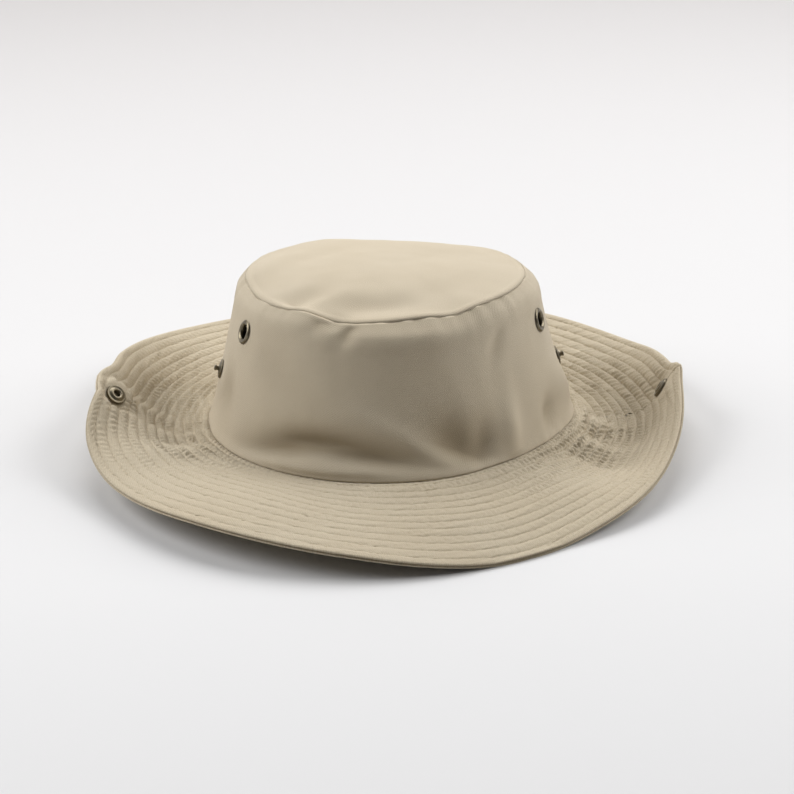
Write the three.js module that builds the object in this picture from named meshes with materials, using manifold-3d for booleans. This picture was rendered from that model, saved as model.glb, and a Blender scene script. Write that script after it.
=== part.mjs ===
// A soft cotton sun hat: domed tip, flared crown side, two-ply brim whose sides curl up,
// press studs at the side seams and four vent eyelets. It lies on its brim on a flat surface.
import * as THREE from 'three';
import { mergeVertices } from 'three/addons/utils/BufferGeometryUtils.js';
import Module from 'manifold-3d';

// Driving dimensions: millimetres, and degrees where a name says so.
// Azimuth 0 is the right side seam (+X), 90 the back (+Y), 180 the left seam, 270 the front.
const baseHalfWidth = 91;
const baseHalfDepth = 92;
const tipHalfWidth = 69.7;
const tipHalfDepth = 71;
const tipSetBack = 10;
const crownHeight = 69;
const tipRise = 9;
const brimWidth = 66;
const crownWall = 1.4;
const brimWall = 2.6;
const seamGap = 0.3;
const settle = 0.7;            // how much the cloth flattens where it rests

const eyeletDiameter = 12;
const eyeletHole = 5.2;
const eyeletRim = 0.9;         // how proud of the cloth
const studBase = 9.6;
const studPost = 2.6;
const studReach = 3.4;
const socketDiameter = 10.6;
const socketHole = 3.2;
const socketHeight = 2;
const capDiameter = 12;
const capHeight = 1.6;
const barrelDiameter = 4.4;
const trimGap = 0.35;          // between a metal flange and the cloth

const sideSteps = 40;          // azimuth steps on each half
const wallRows = 9;
const tipRows = 6;
const brimRows = 8;
const trimSides = 16;

// Crown side section: 'up' as a share of crownHeight, 'right' and 'left' how far in at each side,
// as shares of the taper from base to tip.
const wallSection = [
  { up: 0.00, right: 0.00, left: 0.00 },
  { up: 0.08, right: 0.10, left: 0.10 },
  { up: 0.30, right: 0.28, left: 0.28 },
  { up: 0.55, right: 0.49, left: 0.49 },
  { up: 0.78, right: 0.64, left: 0.68 },
  { up: 0.92, right: 0.74, left: 0.79 },
  { up: 1.00, right: 1.00, left: 1.00 },
];

// How the brim seam strays from its oval, as a share of the oval.
const baseSeam = [
  { azimuth: 0, out: 0.034 },
  { azimuth: 45, out: 0.000 },
  { azimuth: 90, out: 0.000 },
  { azimuth: 135, out: 0.000 },
  { azimuth: 180, out: -0.014 },
  { azimuth: 205, out: 0.010 },
  { azimuth: 230, out: 0.030 },
  { azimuth: 255, out: 0.042 },
  { azimuth: 280, out: 0.024 },
  { azimuth: 305, out: -0.036 },
  { azimuth: 330, out: -0.032 },
];

// How the tip seam strays from its oval: out as a share of the oval, up as a share of crownHeight.
const tipSeam = [
  { azimuth: 0, out: 0.010, up: 0.014 },
  { azimuth: 30, out: 0.034, up: 0.000 },
  { azimuth: 59, out: 0.020, up: -0.034 },
  { azimuth: 90, out: 0.000, up: -0.022 },
  { azimuth: 117, out: 0.018, up: 0.010 },
  { azimuth: 145, out: 0.030, up: 0.014 },
  { azimuth: 168, out: 0.005, up: 0.000 },
  { azimuth: 186, out: -0.024, up: -0.014 },
  { azimuth: 205, out: -0.012, up: -0.018 },
  { azimuth: 219, out: 0.000, up: -0.008 },
  { azimuth: 232, out: 0.004, up: 0.010 },
  { azimuth: 247, out: 0.012, up: -0.032 },
  { azimuth: 263, out: 0.010, up: -0.020 },
  { azimuth: 281, out: 0.000, up: -0.002 },
  { azimuth: 292, out: -0.004, up: -0.014 },
  { azimuth: 304, out: -0.008, up: 0.016 },
  { azimuth: 320, out: -0.014, up: 0.024 },
  { azimuth: 340, out: -0.010, up: 0.024 },
];

// Brim slopes in degrees above level, where the brim leaves the crown, at its middle and at its edge.
const brimSlopes = [
  { azimuth: 0, root: -48, middle: 2, edge: 50 },
  { azimuth: 25, root: -20, middle: 5, edge: 24 },
  { azimuth: 50, root: -2, middle: 8, edge: 20 },
  { azimuth: 75, root: 2, middle: 9, edge: 17 },
  { azimuth: 105, root: 0, middle: 7, edge: 15 },
  { azimuth: 130, root: -2, middle: 5, edge: 20 },
  { azimuth: 155, root: -15, middle: 0, edge: 42 },
  { azimuth: 168, root: -34, middle: 2, edge: 56 },
  { azimuth: 180, root: -44, middle: 28, edge: 44 },
  { azimuth: 193, root: -16, middle: 22, edge: 4 },
  { azimuth: 206, root: 5, middle: 3, edge: -5 },
  { azimuth: 230, root: -2, middle: 4, edge: -8 },
  { azimuth: 255, root: -10, middle: -6, edge: -7 },
  { azimuth: 285, root: -12, middle: -11, edge: -20 },
  { azimuth: 310, root: -11, middle: -5, edge: -11 },
  { azimuth: 335, root: -41, middle: -11, edge: 27 },
];

// Folds and dents of the crown side: place, half-widths across and up, depth (inwards is negative)
// and slant. Lengths are shares of crownHeight, 'across' too.
const wallFolds = [
  { azimuth: 268, up: 0.20, across: 0.75, tall: 0.10, depth: -0.050, slant: 0.05 },
  { azimuth: 283, up: 0.30, across: 0.60, tall: 0.10, depth: 0.035, slant: -0.45 },
  { azimuth: 303, up: 0.30, across: 0.10, tall: 0.26, depth: -0.055, slant: 0.10 },
  { azimuth: 312, up: 0.28, across: 0.11, tall: 0.28, depth: 0.040, slant: 0.35 },
  { azimuth: 333, up: 0.22, across: 0.16, tall: 0.16, depth: -0.050, slant: 0.20 },
  { azimuth: 354, up: 0.15, across: 0.30, tall: 0.12, depth: 0.030, slant: 0.00 },
  { azimuth: 239, up: 0.90, across: 0.14, tall: 0.08, depth: -0.040, slant: 0.40 },
  { azimuth: 252, up: 0.86, across: 0.14, tall: 0.08, depth: -0.035, slant: 0.50 },
  { azimuth: 275, up: 0.84, across: 0.80, tall: 0.07, depth: 0.025, slant: 0.00 },
  { azimuth: 195, up: 0.30, across: 0.20, tall: 0.16, depth: -0.035, slant: 0.00 },
  { azimuth: 95, up: 0.35, across: 0.70, tall: 0.14, depth: -0.040, slant: 0.10 },
  { azimuth: 60, up: 0.50, across: 0.16, tall: 0.30, depth: -0.035, slant: -0.30 },
  { azimuth: 130, up: 0.45, across: 0.18, tall: 0.30, depth: 0.030, slant: 0.30 },
];

// Dents and ridges of the tip: place, reach from the middle as a share of the oval, half-widths
// along and across as shares of tipHalfWidth, depth as a share of tipRise, and turn in degrees.
const tipFolds = [
  { azimuth: 232, reach: 0.86, long: 0.22, wide: 0.12, depth: -0.22, turn: 20 },
  { azimuth: 262, reach: 0.88, long: 0.26, wide: 0.10, depth: -0.22, turn: -5 },
  { azimuth: 248, reach: 0.84, long: 0.14, wide: 0.12, depth: 0.16, turn: 80 },
  { azimuth: 165, reach: 0.78, long: 0.40, wide: 0.12, depth: 0.20, turn: 60 },
  { azimuth: 20, reach: 0.55, long: 0.50, wide: 0.25, depth: -0.20, turn: 30 },
  { azimuth: 120, reach: 0.50, long: 0.45, wide: 0.25, depth: -0.16, turn: -20 },
];

// Gathers of the brim: place, how far out, half-widths and height as shares of brimWidth.
const brimGathers = [
  { azimuth: 352, out: 0.24, across: 0.07, along: 0.26, height: 0.030 },
  { azimuth: 345, out: 0.30, across: 0.07, along: 0.30, height: -0.030 },
  { azimuth: 337, out: 0.34, across: 0.08, along: 0.30, height: 0.028 },
  { azimuth: 328, out: 0.36, across: 0.09, along: 0.32, height: -0.022 },
  { azimuth: 188, out: 0.26, across: 0.07, along: 0.26, height: 0.028 },
  { azimuth: 196, out: 0.32, across: 0.08, along: 0.30, height: -0.030 },
  { azimuth: 204, out: 0.34, across: 0.09, along: 0.30, height: 0.024 },
  { azimuth: 240, out: 0.60, across: 0.40, along: 0.60, height: 0.030 },
  { azimuth: 296, out: 0.65, across: 0.35, along: 0.60, height: -0.030 },
];

const radians = Math.PI / 180;
const wrap = (degrees) => ((degrees % 360) + 540) % 360 - 180;
const bell = (x) => Math.exp(-x * x);
const clamp01 = (x) => Math.min(1, Math.max(0, x));
const ease = (x) => clamp01(x) ** 2 * (3 - 2 * clamp01(x));

// Smooth value between the rows of a table, open or closed round the hat.
function between(rows, key, column, where, closed) {
  const count = rows.length;
  const at = closed ? ((where % 360) + 360) % 360 : where;
  const row = (i) => {
    const k = closed ? ((i % count) + count) % count : Math.min(count - 1, Math.max(0, i));
    const turns = closed ? Math.floor(i / count) * 360 : 0;
    return { x: rows[k][key] + turns, y: rows[k][column] };
  };
  let i = 0;
  while (i < count - 1 && rows[i + 1][key] <= at) i += 1;
  if (!closed) i = Math.min(i, count - 2);
  const [a, b, c, d] = [row(i - 1), row(i), row(i + 1), row(i + 2)];
  const span = c.x - b.x;
  const t = (at - b.x) / span;
  const startSlope = (c.y - a.y) / (c.x - a.x) * span;
  const endSlope = (d.y - b.y) / (d.x - b.x) * span;
  return (2 * t ** 3 - 3 * t ** 2 + 1) * b.y + (t ** 3 - 2 * t ** 2 + t) * startSlope
    + (3 * t ** 2 - 2 * t ** 3) * c.y + (t ** 3 - t ** 2) * endSlope;
}

// Level direction straight out from the base oval.
function outward(azimuth) {
  const a = azimuth * radians;
  return new THREE.Vector3(Math.cos(a) / baseHalfWidth, Math.sin(a) / baseHalfDepth, 0).normalize();
}

// The brim seam, level.
function baseOval(azimuth) {
  const a = azimuth * radians;
  const share = 1 + between(baseSeam, 'azimuth', 'out', azimuth, true);
  return new THREE.Vector3(baseHalfWidth * share * Math.cos(a), baseHalfDepth * share * Math.sin(a), 0);
}

// The fittings' places on the cloth: azimuth, and height or reach as a share.
const eyeletPlaces = [
  { name: 'eyelet_front_left', azimuth: 201, up: 0.77 },
  { name: 'eyelet_front_right', azimuth: 341, up: 0.75 },
  { name: 'eyelet_back_left', azimuth: 150, up: 0.75 },
  { name: 'eyelet_back_right', azimuth: 30, up: 0.75 },
];
const studPlaces = [
  { name: 'stud_left', azimuth: 180, up: 0.38 },
  { name: 'stud_right', azimuth: 0, up: 0.38 },
];
const socketPlaces = [
  { name: 'socket_left', azimuth: 180, out: 0.86 },
  { name: 'socket_right', azimuth: 0, out: 0.85 },
];

// 1 on open cloth and 0 under a fitting, where the cloth is held flat.
function free(places, azimuth, share, key, length) {
  let value = 1;
  for (const place of places) {
    const across = wrap(azimuth - place.azimuth) * radians * baseHalfWidth;
    const along = (share - place[key]) * length;
    value *= ease(Math.hypot(across, along) / capDiameter - 0.6);
  }
  return value;
}

// Middle of the crown side's cloth, s = 0 at the brim seam and 1 at the tip seam.
function wallPoint(azimuth, s) {
  const a = azimuth * radians;
  const [right, left] = ['right', 'left'].map((column) => between(wallSection, 'up', column, s, false));
  const out = THREE.MathUtils.lerp(right, left, (1 - Math.cos(a)) / 2);
  const stray = 1 + between(tipSeam, 'azimuth', 'out', azimuth, true);
  const base = baseOval(azimuth);
  const x = THREE.MathUtils.lerp(base.x, tipHalfWidth * stray * Math.cos(a), out);
  const y = THREE.MathUtils.lerp(base.y, tipHalfDepth * stray * Math.sin(a), out) + tipSetBack * s;
  const up = s + between(tipSeam, 'azimuth', 'up', azimuth, true) * s ** 3;
  const point = new THREE.Vector3(x, y, brimWall / 2 + seamGap + crownHeight * up);
  let fold = 0;
  for (const row of wallFolds) {
    const across = wrap(azimuth - row.azimuth) * radians * baseHalfWidth / crownHeight;
    const above = s - row.up - row.slant * across;
    fold += row.depth * bell(across / row.across) * bell(above / row.tall);
  }
  const held = ease(s / 0.12) * ease((1 - s) / 0.1);
  fold *= held * free([...eyeletPlaces, ...studPlaces], azimuth, s, 'up', crownHeight);
  return point.addScaledVector(outward(azimuth), fold * crownHeight);
}

// Middle of the tip's cloth, r = 0 in the middle and 1 at the tip seam.
function tipPoint(azimuth, r) {
  const a = azimuth * radians;
  const stray = 1 + between(tipSeam, 'azimuth', 'out', azimuth, true) * r ** 2;
  const x = tipHalfWidth * stray * r * Math.cos(a);
  const y = tipHalfDepth * stray * r * Math.sin(a);
  const seam = brimWall / 2 + seamGap + crownHeight * (1 + between(tipSeam, 'azimuth', 'up', azimuth, true) * r ** 3);
  let rise = 1 - r ** 2.4;
  for (const row of tipFolds) {
    const turn = row.turn * radians;
    const dx = x - tipHalfWidth * row.reach * Math.cos(row.azimuth * radians);
    const dy = y - tipHalfDepth * row.reach * Math.sin(row.azimuth * radians);
    const along = (dx * Math.cos(turn) + dy * Math.sin(turn)) / (row.long * tipHalfWidth);
    const across = (dy * Math.cos(turn) - dx * Math.sin(turn)) / (row.wide * tipHalfWidth);
    rise += row.depth * bell(along) * bell(across) * ease((1 - r) / 0.1);
  }
  return new THREE.Vector3(x, y + tipSetBack, seam + tipRise * rise);
}

// Middle of the brim's cloth, t = 0 under the crown side and 1 at the edge.
const brimSteps = 24;
const levelReach = 3 * crownWall / brimWidth;
const middleAt = 0.4;
const straightFrom = 0.7;      // the stitched edge stays straight
const seamHold = 4.5;          // degrees each side of a side seam where the slopes stay the same
const fromSeam = (away) => Math.sign(away) * Math.max(0, Math.abs(away) - seamHold) * 90 / (90 - seamHold);
function slopeAzimuth(azimuth) {
  const fromRight = wrap(azimuth);
  const turn = Math.abs(fromRight) <= 90 ? fromSeam(fromRight) : 180 + fromSeam(wrap(azimuth - 180));
  return (turn + 360) % 360;
}
function brimPoint(azimuth, t) {
  const at = slopeAzimuth(azimuth);
  const root = between(brimSlopes, 'azimuth', 'root', at, true);
  const middle = between(brimSlopes, 'azimuth', 'middle', at, true);
  const edge = between(brimSlopes, 'azimuth', 'edge', at, true);
  const step = t / brimSteps;
  let reach = -crownWall / 2;
  let rise = 0;
  let slope = 0;
  for (let i = 0; i < brimSteps; i += 1) {
    const u = (i + 0.5) * step;
    slope = u < middleAt
      ? THREE.MathUtils.lerp(root, middle, u / middleAt)
      : THREE.MathUtils.lerp(middle, edge, clamp01((u - middleAt) / (straightFrom - middleAt)));
    slope *= radians * ease((u - levelReach / 3) / levelReach);
    reach += Math.cos(slope) * step * brimWidth;
    rise += Math.sin(slope) * step * brimWidth;
  }
  let gather = 0;
  for (const row of brimGathers) {
    const across = wrap(azimuth - row.azimuth) * radians * baseHalfWidth / brimWidth;
    gather += row.height * bell(across / row.across) * bell((t - row.out) / row.along);
  }
  gather *= ease((t - levelReach) / 0.15) * free(socketPlaces, azimuth, t, 'out', brimWidth);
  const point = baseOval(azimuth).setZ(rise);
  const level = outward(azimuth);
  point.addScaledVector(level, reach - Math.sin(slope) * gather * brimWidth);
  point.z += Math.cos(slope) * gather * brimWidth;
  return point;
}

// Face direction of a cloth surface, out of the hat or up.
function faceOf(surface, azimuth, share) {
  const small = 0.01;
  const low = Math.max(0, share - small);
  const high = Math.min(1, share + small);
  const round = surface(azimuth + 0.5, share).sub(surface(azimuth - 0.5, share));
  const along = surface(azimuth, high).sub(surface(azimuth, low));
  return round.cross(along).normalize();
}
const wallFace = (azimuth, s) => {
  if (s >= 1) return outward(azimuth).add(new THREE.Vector3(0, 0, 1)).normalize();
  return s <= 0 ? outward(azimuth) : faceOf(wallPoint, azimuth, s);
};
const tipFace = (azimuth, r) => {
  if (r >= 1) return wallFace(azimuth, 1);
  return r <= 0 ? new THREE.Vector3(0, 0, 1) : faceOf(tipPoint, azimuth, r).negate();
};
const brimFace = (azimuth, t) => {
  if (t <= 0) return new THREE.Vector3(0, 0, 1);
  const face = faceOf(brimPoint, azimuth, t).negate();
  if (wrap(azimuth) === 0 || Math.abs(wrap(azimuth)) === 180) face.setY(0).normalize();
  return face;
};

const azimuths = Array.from({ length: 2 * sideSteps }, (_, i) => i * 180 / sideSteps);
const shares = (count) => Array.from({ length: count }, (_, i) => i / (count - 1));
const brimShares = [0, ...shares(brimRows).map((t) => levelReach + (1 - levelReach) * t)];

// The hat leans back until the front edge and the back of the brim seam both touch the surface.
const brimBelow = (azimuth, t) =>
  brimPoint(azimuth, t).addScaledVector(brimFace(azimuth, t), -brimWall / 2);
function lowest(points, lean) {
  return Math.min(...points.map((p) => p.z * Math.cos(lean) - p.y * Math.sin(lean)));
}
function restingLean() {
  const frontEdge = [];
  const backSeam = [];
  for (let azimuth = 225; azimuth <= 315; azimuth += 3) frontEdge.push(brimBelow(azimuth, 1));
  for (let azimuth = 45; azimuth <= 135; azimuth += 3) {
    for (const t of brimShares) backSeam.push(brimBelow(azimuth, t));
  }
  let low = -0.3;
  let high = 0.5;
  for (let i = 0; i < 30; i += 1) {
    const lean = (low + high) / 2;
    if (lowest(backSeam, lean) > lowest(frontEdge, lean)) low = lean;
    else high = lean;
  }
  return { lean: low, lift: settle + lowest(backSeam, low) };
}
const rest = restingLean();
const tilt = new THREE.Matrix4().makeRotationX(-rest.lean);
const place = (point, floor) => {
  const moved = point.clone().applyMatrix4(tilt);
  moved.z = Math.max(moved.z - rest.lift, floor);
  return moved;
};

// A cloth piece between two surfaces: rows of points outside and inside, joined at their edges.
function clothGeometry(rowsOut, rowsIn, closed) {
  const count = rowsOut[0].length;
  const points = [...rowsOut, ...rowsIn].flat();
  const positions = points.flatMap((p) => [p.x, p.y, p.z]);
  const faces = [];
  const inner = rowsOut.length * count;
  const quad = (a, b, c, d) => {
    const short = points[a].distanceTo(points[c]) <= points[b].distanceTo(points[d]);
    faces.push(...(short ? [a, b, c, a, c, d] : [a, b, d, b, c, d]));
  };
  const last = closed ? count : count - 1;
  for (let row = 0; row + 1 < rowsOut.length; row += 1) {
    for (let i = 0; i < last; i += 1) {
      const j = (i + 1) % count;
      const [a, b] = [row * count + i, row * count + j];
      quad(a, b, b + count, a + count);
      quad(inner + a, inner + a + count, inner + b + count, inner + b);
    }
    if (!closed) {
      const a = row * count;
      quad(a, a + count, inner + a + count, inner + a);
      const b = a + count - 1;
      quad(b, inner + b, inner + b + count, b + count);
    }
  }
  const top = (rowsOut.length - 1) * count;
  for (let i = 0; i < last; i += 1) {
    const j = (i + 1) % count;
    quad(i, inner + i, inner + j, j);
    quad(top + i, top + j, inner + top + j, inner + top + i);
  }
  const geometry = new THREE.BufferGeometry();
  geometry.setAttribute('position', new THREE.Float32BufferAttribute(positions, 3));
  geometry.setIndex(faces);
  return geometry;
}

function crownSideGeometry() {
  const row = (s, side) => azimuths.map((azimuth) => {
    const point = wallPoint(azimuth, s);
    if (s === 1) point.z -= seamGap / 2;
    return place(point.addScaledVector(wallFace(azimuth, s), side * crownWall / 2), brimWall + seamGap);
  });
  const rows = shares(wallRows);
  return clothGeometry(rows.map((s) => row(s, 1)), rows.map((s) => row(s, -1)), true);
}

// The tip's rows shrink to a small ring in the middle, which a hub point closes on both faces.
function crownTipGeometry() {
  const rows = shares(tipRows).map((r) => Math.max(r, 0.04)).reverse();
  const row = (r, side) => azimuths.map((azimuth) => {
    const point = tipPoint(azimuth, r);
    if (r === 1) point.addScaledVector(outward(azimuth), -seamGap);
    return place(point.addScaledVector(tipFace(azimuth, r), side * crownWall / 2), 0);
  });
  const outside = rows.map((r) => row(r, 1));
  const inside = rows.map((r) => row(r, -1));
  const hub = (side) => place(tipPoint(0, 0).add(new THREE.Vector3(0, 0, side * crownWall / 2)), 0);
  outside[rows.length - 1] = azimuths.map(() => hub(1));
  inside[rows.length - 1] = azimuths.map(() => hub(-1));
  return clothGeometry(outside, inside, true);
}

function brimHalfGeometry(start) {
  const row = (t, side) => Array.from({ length: sideSteps + 1 }, (_, i) => {
    const azimuth = start + i * 180 / sideSteps;
    const point = brimPoint(azimuth % 360, t);
    point.addScaledVector(brimFace(azimuth % 360, t), side * brimWall / 2);
    const into = start === 0 ? 1 : -1;
    if (i === 0 || i === sideSteps) point.y = into * seamGap / 2;
    return place(point, side > 0 ? brimWall : 0);
  });
  const rows = brimShares.toReversed();
  return clothGeometry(rows.map((t) => row(t, 1)), rows.map((t) => row(t, -1)), false);
}

// Turned metal fittings. Each outline runs round a closed section as [radius, height] pairs,
// height 0 at the middle of the cloth; the outside of the hat is up.
function eyeletOutline(wall) {
  const hole = eyeletHole / 2;
  const rim = eyeletDiameter / 2;
  const seat = wall / 2 + trimGap;
  const barrel = hole + 0.5;
  return [
    [hole, -seat], [barrel + 0.3, -seat - eyeletRim * 0.7], [rim * 0.8, -seat], [barrel, -seat],
    [barrel, seat], [rim, seat], [rim - 0.3, seat + eyeletRim * 0.6],
    [(rim + hole) / 2 + 0.4, seat + eyeletRim], [hole + 0.7, seat + eyeletRim * 0.7], [hole, seat],
  ];
}
function studOutline(wall) {
  const seat = wall / 2 + trimGap;
  const flange = studBase / 2;
  const post = studPost / 2;
  const barrel = barrelDiameter / 2;
  return [
    [0, -seat - 0.8], [flange * 0.8, -seat - 0.8], [flange * 0.9, -seat], [barrel, -seat],
    [barrel, seat], [flange, seat], [flange, seat + 0.5], [flange * 0.6, seat + 0.9],
    [post, seat + 1], [post * 0.85, seat + studReach * 0.6], [post * 1.15, seat + studReach * 0.85],
    [post * 0.7, seat + studReach], [0, seat + studReach],
  ];
}
function socketOutline(wall) {
  const seat = wall / 2 + trimGap;
  const cap = capDiameter / 2;
  const rim = socketDiameter / 2;
  const barrel = barrelDiameter / 2;
  const hole = socketHole / 2;
  return [
    [0, -seat - capHeight], [cap * 0.7, -seat - capHeight * 0.8], [cap, -seat - 0.3], [cap, -seat],
    [barrel, -seat], [barrel, seat], [rim, seat], [rim, seat + socketHeight * 0.6],
    [rim - 0.7, seat + socketHeight], [hole + 0.9, seat + socketHeight],
    [hole, seat + socketHeight - 0.5], [hole, 0], [0, 0],
  ];
}

// The frame of a fitting: its axis is the cloth's face direction, after the hat has settled.
function fittingMatrix(surface, face, azimuth, share) {
  const axis = face(azimuth, share);
  const side = outward(azimuth + 90).projectOnPlane(axis).normalize();
  const matrix = new THREE.Matrix4().makeBasis(side, axis, side.clone().cross(axis));
  matrix.setPosition(surface(azimuth, share));
  const lift = new THREE.Matrix4().makeTranslation(0, 0, -rest.lift);
  return lift.multiply(tilt).multiply(matrix);
}
const turned = (outline) => {
  const section = outline.map(([radius, height]) => new THREE.Vector2(radius, height));
  if (section[0].x > 0) section.push(section[0].clone());
  return new THREE.LatheGeometry(section, trimSides);
};

const wasm = await Module();
wasm.setup();
function solid(geometry) {
  const plain = geometry.clone();
  for (const name of ['normal', 'uv']) plain.deleteAttribute(name);
  const merged = mergeVertices(plain, 1e-4);
  const triangles = [];
  const index = merged.index.array;
  for (let i = 0; i < index.length; i += 3) {
    const [a, b, c] = index.slice(i, i + 3);
    if (a !== b && b !== c && c !== a) triangles.push(a, b, c);
  }
  return new wasm.Manifold(new wasm.Mesh({
    numProp: 3,
    vertProperties: new Float32Array(merged.attributes.position.array),
    triVerts: new Uint32Array(triangles),
  }));
}
function geometryOf(body) {
  const mesh = body.getMesh();
  const geometry = new THREE.BufferGeometry();
  geometry.setAttribute('position', new THREE.BufferAttribute(mesh.vertProperties, 3));
  geometry.setIndex(new THREE.BufferAttribute(mesh.triVerts, 1));
  return geometry;
}

const clothColour = { crown: 0xc9bda8, brim: 0xc4b8a2 };
const cloth = (color) => new THREE.MeshStandardMaterial({ color, roughness: 0.95, metalness: 0 });
const metal = () => new THREE.MeshStandardMaterial({ color: 0x8f8468, roughness: 0.45, metalness: 0.9 });

const hat = new THREE.Group();
function add(name, geometry, material) {
  const mesh = new THREE.Mesh(geometry, material);
  mesh.name = name;
  hat.add(mesh);
}

// Round holes for the fittings' barrels, cut through the cloth.
function punched(geometry, holes) {
  let body = solid(geometry);
  for (const hole of holes) {
    const drill = new THREE.CylinderGeometry(hole.radius, hole.radius, 12, trimSides);
    body = body.subtract(solid(drill.applyMatrix4(hole.matrix)));
  }
  return geometryOf(body);
}
const wallMatrix = (row) => fittingMatrix(wallPoint, wallFace, row.azimuth, row.up);
const brimMatrix = (row) => fittingMatrix(brimPoint, brimFace, row.azimuth, row.out);
const eyeletHoles = eyeletPlaces.map((row) => (
  { matrix: wallMatrix(row), radius: eyeletHole / 2 + 0.5 + trimGap }));
const studHoles = studPlaces.map((row) => (
  { matrix: wallMatrix(row), radius: barrelDiameter / 2 + trimGap }));
const socketHoles = socketPlaces.map((row) => (
  { matrix: brimMatrix(row), radius: barrelDiameter / 2 + trimGap }));

add('crown_tip', geometryOf(solid(crownTipGeometry())), cloth(clothColour.crown));
add('crown_side', punched(crownSideGeometry(), [...eyeletHoles, ...studHoles]), cloth(clothColour.crown));
add('brim_back', punched(brimHalfGeometry(0), socketHoles), cloth(clothColour.brim));
add('brim_front', punched(brimHalfGeometry(180), socketHoles), cloth(clothColour.brim));
for (const row of eyeletPlaces) {
  add(row.name, turned(eyeletOutline(crownWall)).applyMatrix4(wallMatrix(row)), metal());
}
for (const row of studPlaces) {
  add(row.name, turned(studOutline(crownWall)).applyMatrix4(wallMatrix(row)), metal());
}
for (const row of socketPlaces) {
  add(row.name, turned(socketOutline(brimWall)).applyMatrix4(brimMatrix(row)), metal());
}

// The origin lies under the middle of the outline.
const outline = new THREE.Box3().setFromObject(hat);
hat.position.set(-(outline.min.x + outline.max.x) / 2, -(outline.min.y + outline.max.y) / 2, -outline.min.z);

export default hat;
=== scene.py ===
import math
import bmesh
import bpy
import numpy as np
from mathutils import Matrix, Vector, noise


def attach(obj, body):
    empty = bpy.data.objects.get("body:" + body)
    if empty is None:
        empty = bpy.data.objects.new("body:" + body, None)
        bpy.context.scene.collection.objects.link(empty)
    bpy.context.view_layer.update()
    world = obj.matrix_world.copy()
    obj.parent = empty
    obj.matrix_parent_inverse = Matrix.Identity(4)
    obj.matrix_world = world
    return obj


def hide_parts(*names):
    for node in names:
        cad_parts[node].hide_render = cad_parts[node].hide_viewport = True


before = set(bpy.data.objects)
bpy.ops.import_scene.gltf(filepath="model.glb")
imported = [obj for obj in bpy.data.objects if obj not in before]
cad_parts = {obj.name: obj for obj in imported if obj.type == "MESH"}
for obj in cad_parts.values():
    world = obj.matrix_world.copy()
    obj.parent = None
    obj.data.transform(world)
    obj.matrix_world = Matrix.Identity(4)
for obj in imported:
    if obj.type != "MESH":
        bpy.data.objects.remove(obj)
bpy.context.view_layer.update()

# A soft sun hat of beige cotton twill, lying on its brim with the sides curled up.
# Lengths are metres. Azimuth is in degrees round the hat: 0 the right side seam, 90 the back,
# 180 the left side seam, 270 the front.
mm = 0.001

# The hat's form: the sizes of the CAD part, with its folds drawn finer.
form = dict(
    baseHalfWidth=91 * mm,
    baseHalfDepth=92 * mm,
    tipHalfWidth=69.7 * mm,
    tipHalfDepth=71 * mm,
    tipSetBack=10 * mm,
    crownHeight=69 * mm,
    tipRise=9 * mm,
    tipDome=2.4,            # a higher power makes the tip flatter in the middle
    brimWidth=66 * mm,
    crownWall=1.4 * mm,
    brimWall=2.6 * mm,
    seamGap=0.3 * mm,
    lean=0.07085,           # radians, how far the hat leans back on its brim
    lift=7.458 * mm,        # how far its base is raised above the surface
    shiftRight=0.443 * mm,
    shiftBack=1.611 * mm,
    seamHold=4.5,           # degrees each side of a side seam where the brim's slopes stay the same
    middleAt=0.4,           # share of the brim's width where its middle slope is reached
    straightFrom=0.7,       # and from where its edge slope is kept
    brimSteps=24,           # steps that add up the brim's slope
)

# How far the crown side has moved from the base oval to the tip oval, on its right and left.
wallSection = [
    dict(up=0.00, right=0.00, left=0.00), dict(up=0.08, right=0.10, left=0.10),
    dict(up=0.30, right=0.28, left=0.28), dict(up=0.55, right=0.49, left=0.49),
    dict(up=0.78, right=0.64, left=0.68), dict(up=0.92, right=0.74, left=0.79),
    dict(up=1.00, right=1.00, left=1.00),
]

# How the brim seam strays from its oval, as a share of the oval.
baseSeam = [
    dict(azimuth=0, out=0.034), dict(azimuth=45, out=0.000), dict(azimuth=90, out=0.000),
    dict(azimuth=135, out=0.000), dict(azimuth=180, out=-0.014), dict(azimuth=205, out=0.010),
    dict(azimuth=230, out=0.030), dict(azimuth=255, out=0.042), dict(azimuth=280, out=0.024),
    dict(azimuth=305, out=-0.036), dict(azimuth=330, out=-0.032),
]

# How the tip seam strays from its oval: out as a share of the oval, up as a share of crownHeight.
tipSeam = [
    dict(azimuth=0, out=0.010, up=0.014), dict(azimuth=30, out=0.034, up=0.000),
    dict(azimuth=59, out=0.020, up=-0.034), dict(azimuth=90, out=0.000, up=-0.022),
    dict(azimuth=117, out=0.018, up=0.010), dict(azimuth=145, out=0.030, up=0.014),
    dict(azimuth=168, out=0.005, up=0.000), dict(azimuth=186, out=-0.024, up=-0.014),
    dict(azimuth=205, out=-0.012, up=-0.018), dict(azimuth=219, out=0.000, up=-0.008),
    dict(azimuth=232, out=0.004, up=0.010), dict(azimuth=247, out=0.012, up=-0.032),
    dict(azimuth=263, out=0.010, up=-0.020), dict(azimuth=281, out=0.000, up=-0.002),
    dict(azimuth=292, out=-0.004, up=-0.014), dict(azimuth=304, out=-0.008, up=0.016),
    dict(azimuth=320, out=-0.014, up=0.024), dict(azimuth=340, out=-0.010, up=0.024),
]

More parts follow.
